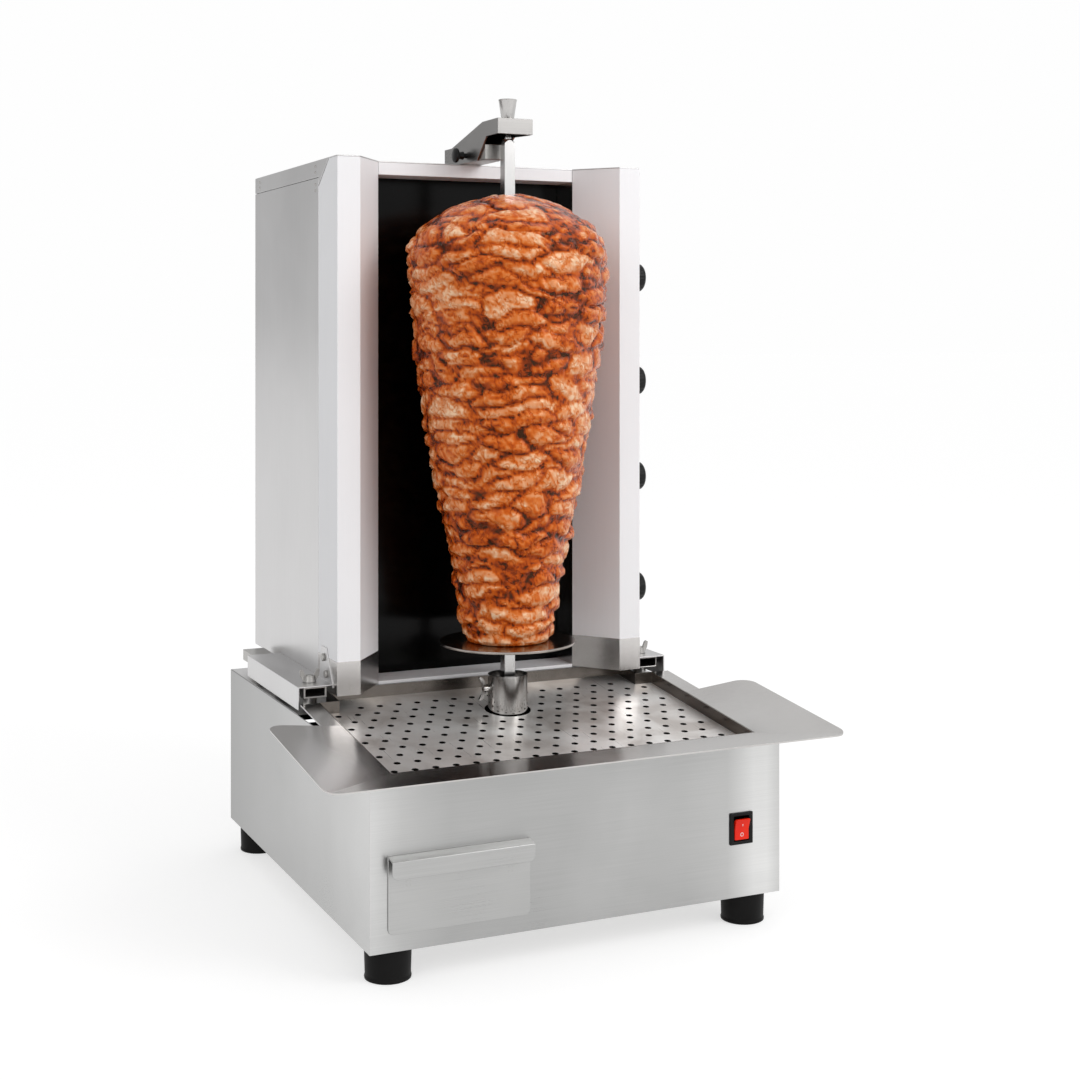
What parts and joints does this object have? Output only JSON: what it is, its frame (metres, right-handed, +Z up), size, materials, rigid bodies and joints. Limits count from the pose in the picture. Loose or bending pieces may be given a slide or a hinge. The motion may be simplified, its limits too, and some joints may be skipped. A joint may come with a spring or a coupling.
{
  "type": "electric skewer grill",
  "caption": "Vertical broiler: an upright skewer of meat turns before an electric heater tower that slides on rails, over a drip pan and a grease drawer.",
  "frame": {"origin": "on the floor, under the middle of the whole grill's box", "axes": "+X to the right as the cook faces the drawer and switch, +Y to the heater tower and the back, +Z up"},
  "size_m": [0.6, 0.64, 0.9263],
  "materials": {
    "sheet_steel": "satin brushed stainless sheet",
    "panel_steel": "bright rolled stainless sheet",
    "pan_steel": "pressed stainless pan, lightly marked by heat",
    "plate_steel": "perforated stainless plate, worn by scrubbing",
    "skewer_steel": "drawn square stainless bar, dulled by cooking",
    "inner_steel": "galvanised mild steel bracket and inner sheet",
    "screw_steel": "bright plated fasteners",
    "black_glass": "black ceramic glass",
    "meat": "roasted sliced meat",
    "foot_rubber": "moulded black rubber",
    "knob_plastic": "moulded black phenolic",
    "switch_black": "moulded black nylon",
    "switch_red": "translucent red polycarbonate",
    "motor_paint": "grey enamelled motor and gearbox",
    "bearing_bronze": "sintered bronze bush",
    "element_sheath": "oxidised alloy sheath",
    "insulation": "compressed mineral fibre board"
  },
  "bodies": {
    "base": {"base_back": "sheet_steel", "base_casing": "sheet_steel", "base_deck": "sheet_steel", "base_floor": "inner_steel", "drawer_runner_left": "inner_steel", "drawer_runner_right": "inner_steel", "drip_pan": "pan_steel", "drive_motor": "motor_paint", "feet": "foot_rubber", "foot_nuts": "screw_steel", "gearbox": "motor_paint", "mains_gland": "switch_black", "motor_bracket": "inner_steel", "pan_rim": "pan_steel", "perforated_plate": "plate_steel", "rail_left": "screw_steel", "rail_right": "screw_steel", "spindle_bearing": "bearing_bronze", "switch_housing": "switch_black"},
    "skewer": {"drive_spindle": "skewer_steel", "drive_collar": "skewer_steel", "skewer_bar": "skewer_steel", "meat_disc": "skewer_steel", "meat_stack": "meat"},
    "drawer": {"drawer_box": "sheet_steel", "drawer_front": "sheet_steel", "drawer_grip": "panel_steel"},
    "tower": {"carriage_left": "panel_steel", "carriage_right": "panel_steel", "wing_left": "panel_steel", "wing_right": "panel_steel", "side_panel_left": "sheet_steel", "side_panel_right": "sheet_steel", "top_cover": "sheet_steel", "tower_back_panel": "sheet_steel", "tower_floor": "inner_steel", "glass_panel": "black_glass", "trim_top": "panel_steel", "trim_bottom": "panel_steel", "reflector": "inner_steel", "insulation_board": "insulation", "heater_holder_left": "inner_steel", "heater_holder_right": "inner_steel", "heating_elements": "element_sheath", "heat_regulators": "switch_black", "gland_plate": "panel_steel", "cable_gland": "switch_black", "arm_guide": "inner_steel", "gusset_bolts": "screw_steel"},
    "rocker": {"switch_rocker": "switch_red"},
    "collar_screw": {"collar_wing_screw": "screw_steel"},
    "clamp_left": {"clamp_screw_left": "screw_steel"},
    "clamp_right": {"clamp_screw_right": "screw_steel"},
    "knob_1": {"control_knob_1": "knob_plastic"},
    "knob_2": {"control_knob_2": "knob_plastic"},
    "knob_3": {"control_knob_3": "knob_plastic"},
    "knob_4": {"control_knob_4": "knob_plastic"},
    "arm": {"top_arm": "panel_steel"},
    "pin": {"top_pin": "skewer_steel"},
    "arm_screw": {"arm_thumb_screw": "knob_plastic"}
  },
  "joints": [
    {"name": "skewer_spin", "type": "hinge", "parent": "base", "child": "skewer", "pos_m": [0, -0.065, 0.3], "axis": [0, 0, 1], "continuous": true},
    {"name": "collar_screw_turn", "type": "hinge", "parent": "skewer", "child": "collar_screw", "pos_m": [-0.023, -0.065, 0.245], "axis": [1, 0, 0], "range_deg": [0, 180]},
    {"name": "drawer_slide", "type": "slide", "parent": "base", "child": "drawer", "axis": [0, -1, 0], "range_m": [0, 0.15]},
    {"name": "switch_tilt", "type": "hinge", "parent": "base", "child": "rocker", "pos_m": [0.19, -0.269, 0.111], "axis": [-1, 0, 0], "range_deg": [0, 18]},
    {"name": "tower_slide", "type": "slide", "parent": "base", "child": "tower", "axis": [0, 1, 0], "range_m": [0, 0.05]},
    {"name": "arm_slide", "type": "slide", "parent": "tower", "child": "arm", "axis": [0, 1, 0], "range_m": [-0.05, 0]},
    {"name": "arm_screw_turn", "type": "hinge", "parent": "arm", "child": "arm_screw", "pos_m": [-0.03, 0.01, 0.867], "axis": [1, 0, 0], "range_deg": [0, 180]},
    {"name": "pin_lift", "type": "slide", "parent": "arm", "child": "pin", "axis": [0, 0, 1], "range_m": [0, 0.03]},
    {"name": "clamp_turn_left", "type": "hinge", "parent": "tower", "child": "clamp_left", "pos_m": [-0.2145, 0.014, 0.26], "axis": [0, 0, 1], "range_deg": [0, 180]},
    {"name": "clamp_turn_right", "type": "hinge", "parent": "tower", "child": "clamp_right", "pos_m": [0.2145, 0.014, 0.26], "axis": [0, 0, 1], "range_deg": [0, 180]},
    {"name": "heat_knob_1_turn", "type": "hinge", "parent": "tower", "child": "knob_1", "pos_m": [0.2, 0.008, 0.724], "axis": [1, 0, 0], "range_deg": [0, 270]},
    {"name": "heat_knob_2_turn", "type": "hinge", "parent": "tower", "child": "knob_2", "pos_m": [0.2, 0.008, 0.596], "axis": [1, 0, 0], "range_deg": [0, 270]},
    {"name": "heat_knob_3_turn", "type": "hinge", "parent": "tower", "child": "knob_3", "pos_m": [0.2, 0.008, 0.477], "axis": [1, 0, 0], "range_deg": [0, 270]},
    {"name": "heat_knob_4_turn", "type": "hinge", "parent": "tower", "child": "knob_4", "pos_m": [0.2, 0.008, 0.339], "axis": [1, 0, 0], "range_deg": [0, 270]}
  ],
  "couplings": [
    {"joint": "arm_slide", "follows": "tower_slide", "ratio": -1}
  ]
}
